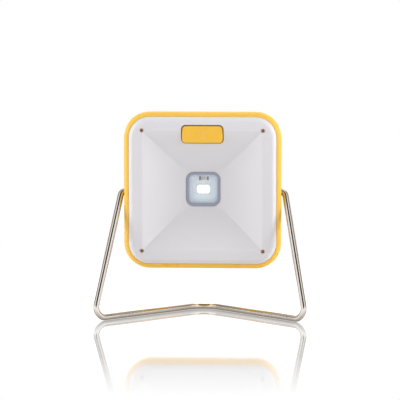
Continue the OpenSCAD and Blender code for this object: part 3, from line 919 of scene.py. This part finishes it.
def build_floor():
    """A wide white tabletop: pure white to the eye, and glossy only near the stand.

    Other rays see it a little dimmer and warmer under the lantern, and gloss sees its far edge dark.
    Where the wire rests on it, it is shaded.
    """
    bm = bmesh.new()
    bmesh.ops.create_grid(bm, x_segments=8, y_segments=8, size=6.0)
    floor = new_object("studio_floor", bm)
    floor.location.z = -0.0001
    m = Nodes("studio_white", 0.9)
    rays = m.add("ShaderNodeLightPath")
    x, y, _ = m.split(m.where())
    square = m.maths("ADD", m.maths("POWER", x, 2.0), m.maths("POWER", y, 2.0))
    distance = m.maths("SQRT", square, 0.0)

    dim, bright = (0.90, 0.85, 0.79), (1.05, 1.05, 1.05)
    under = m.ramp(m.span(distance, 0.0, 0.3, 0.0, 1.0), [(0.15, dim), (0.42, bright)])
    edge = m.blend(rays.outputs["Is Glossy Ray"], 1.0, m.span(distance, 0.45, 0.65, 1.0, 0.1))
    contact = m.add("ShaderNodeAmbientOcclusion")
    contact.inputs["Distance"].default_value = 0.0095
    lit = m.maths("MULTIPLY", edge, m.span(contact.outputs["AO"], 0.45, 0.95, 0.45, 1.0))
    white = m.add("ShaderNodeEmission")
    m.link(m.mix_colours(rays.outputs["Is Camera Ray"], under, (1.0, 1.0, 1.0)), white.inputs["Color"])
    m.link(lit, white.inputs["Strength"])

    mirror = m.add("ShaderNodeBsdfGlossy")
    mirror.inputs["Roughness"].default_value = 0.05
    mirror.inputs["Color"].default_value = (1.0, 1.0, 1.0, 1.0)
    grazing = m.add("ShaderNodeFresnel")
    grazing.inputs["IOR"].default_value = 1.45
    near = m.span(distance, 0.175, 0.3, 0.66, 0.0)
    gloss = m.maths("MULTIPLY", near, m.span(grazing.outputs["Fac"], 0.03, 0.5, 0.12, 1.0))
    mix = m.add("ShaderNodeMixShader")
    m.link(gloss, mix.inputs["Fac"])
    m.link(white.outputs["Emission"], mix.inputs[1])
    m.link(mirror.outputs["BSDF"], mix.inputs[2])
    m.link(mix.outputs["Shader"], m.tree.nodes["Material Output"].inputs["Surface"])
    floor.data.materials.append(m.material)


def build_world():
    """White studio: bright panels at both sides, and a front that brightens towards the top.

    Gloss sees it as a photographer's tent: white, with a dark gap high in front and dim warm walls
    behind the side panels.
    """
    world = bpy.data.worlds.new("studio")
    bpy.context.scene.world = world
    world.use_nodes = True
    g = Graph(world.node_tree)
    background = g.tree.nodes["Background"]
    where = g.add("ShaderNodeTexCoord").outputs["Generated"]
    x, y, z = g.split(where)
    beside = g.maths("ABSOLUTE", x, 0.0)

    left = g.span(x, -0.84, -0.94, 0.0, 7.2)
    right = g.span(x, 0.84, 0.94, 0.0, 8.1)
    front = g.maths("ADD", g.maths("ADD", left, right), g.span(z, 0.1, 1.0, 0.26, 1.28))
    light = g.blend(g.span(y, 0.0, 0.35, 0.0, 1.0), front, 0.49)

    aim = g.add("ShaderNodeVectorMath", operation="DOT_PRODUCT")
    g.link(where, aim.inputs[0])
    aim.inputs[1].default_value = Vector((0.0, -0.6, 0.8))
    gap = g.span(aim.outputs["Value"], 0.885, 0.93, 1.5, 0.04)
    walls = g.maths("MULTIPLY", g.span(beside, 0.35, 0.5, 0.0, 1.0), g.span(y, -0.15, 0.0, 0.0, 1.0))
    walls = g.maths("MULTIPLY", walls, g.span(z, 0.15, 0.25, 0.0, 1.0))
    gloss = g.blend(walls, gap, 0.38)

    rays = g.add("ShaderNodeLightPath")
    level = g.blend(rays.outputs["Is Glossy Ray"], light, gloss)
    g.link(g.blend(rays.outputs["Is Camera Ray"], level, 1.0), background.inputs["Strength"])
    warm = g.maths("MULTIPLY", walls, rays.outputs["Is Glossy Ray"])
    g.link(g.ramp(warm, [(0.0, (1.0, 1.0, 1.0)), (1.0, (1.0, 0.86, 0.73))]), background.inputs["Color"])


def build_camera():
    """A long lens a little to the right of the lantern and a little above it."""
    distance = 2.0
    turn, rise = math.radians(2.9), math.radians(6.0)
    target = Vector((0.0, PIVOT.y, MIDDLE))
    offset = Vector((math.sin(turn) * math.cos(rise), -math.cos(turn) * math.cos(rise), math.sin(rise)))
    data = bpy.data.cameras.new("camera")
    data.sensor_width = 36.0
    view_width = 0.25478
    data.lens = distance / view_width * data.sensor_width
    data.shift_x, data.shift_y = -0.008, -0.0275
    data.clip_end = 50.0
    camera = bpy.data.objects.new("camera", data)
    bpy.context.scene.collection.objects.link(camera)
    camera.location = target + offset * distance
    camera.rotation_euler = (target - camera.location).to_track_quat("-Z", "Y").to_euler()
    bpy.context.scene.camera = camera


# ---- The lantern ----

build_camera()
build_world()
build_floor()
bpy.context.scene.view_settings.view_transform = "Standard"

build_reflector(white_plastic())
build_button(button_plastic())
build_seal(rubber("window_rubber", (0.31, 0.33, 0.42), 0.42))
build_lens(clear_plastic("lens_plastic", (0.80, 0.88, 0.95), 0.2, 0.08))
build_wire(bright_wire())
# Painted shade: the screw heads are coloured the dark brown that the deep screw holes show.
build_screws(metal("screw_painted_shade", (0.74, 0.34, 0.14), 0.55))
build_glow(glowing_phosphor())

black_part = ceramic("black_epoxy", (0.02, 0.02, 0.022))
nickel = metal("nickel", (0.66, 0.64, 0.60), 0.3)
natural_nylon = nylon()
dark_foam = foam()
red_lead = rubber("red_insulation", (0.45, 0.012, 0.01), 0.4)
black_lead = rubber("black_insulation", (0.012, 0.012, 0.012), 0.4)
dress([
    (yellow_plastic(), ["rear_shell"]),
    # Painted light: the seal in the gap between shell and front is coloured pale, so that the gap shows
    # little shade.
    (rubber("case_rubber", (0.48, 0.46, 0.40)), ["case_seal"]),
    (natural_nylon, ["bush_left", "bush_right", "battery_socket", "panel_socket"]),
    (metal("blued_steel", (0.14, 0.14, 0.16), 0.4), ["clip_left", "clip_right"]),
    (solder_mask(), ["led_board"]),
    (metal("zinc", (0.62, 0.62, 0.62), 0.35), ["board_screws"]),
    (moulded("led_case", (0.82, 0.84, 0.80), 0.4), ["led_base"]),
    (moulded("diffused_red", (0.80, 0.42, 0.38), 0.3), ["indicator_led"]),
    (black_part, ["sense_resistors", "charge_controller", "boost_inductor", "tact_switch"]),
    (ceramic("capacitor_ceramic", (0.40, 0.30, 0.16)), ["ceramic_capacitors"]),
    (moulded("plunger_plastic", (0.5, 0.08, 0.02), 0.45), ["switch_plunger"]),
    (moulded("cell_wrap", (0.05, 0.16, 0.36), 0.3), ["battery_cell"]),
    (nickel, ["battery_tabs", "cell_ribbons"]),
    (dark_foam, ["battery_pad", "panel_tape"]),
    (red_lead, ["battery_lead_red", "panel_lead_red"]),
    (black_lead, ["battery_lead_black", "panel_lead_black"]),
    (moulded("laminate", (0.78, 0.79, 0.80), 0.5), ["solar_backsheet"]),
    (silicon(), ["solar_cells"]),
    (clear_plastic("panel_sheet", (0.35, 0.45, 0.62), 0.07, 0.1), ["panel_cover"]),
])
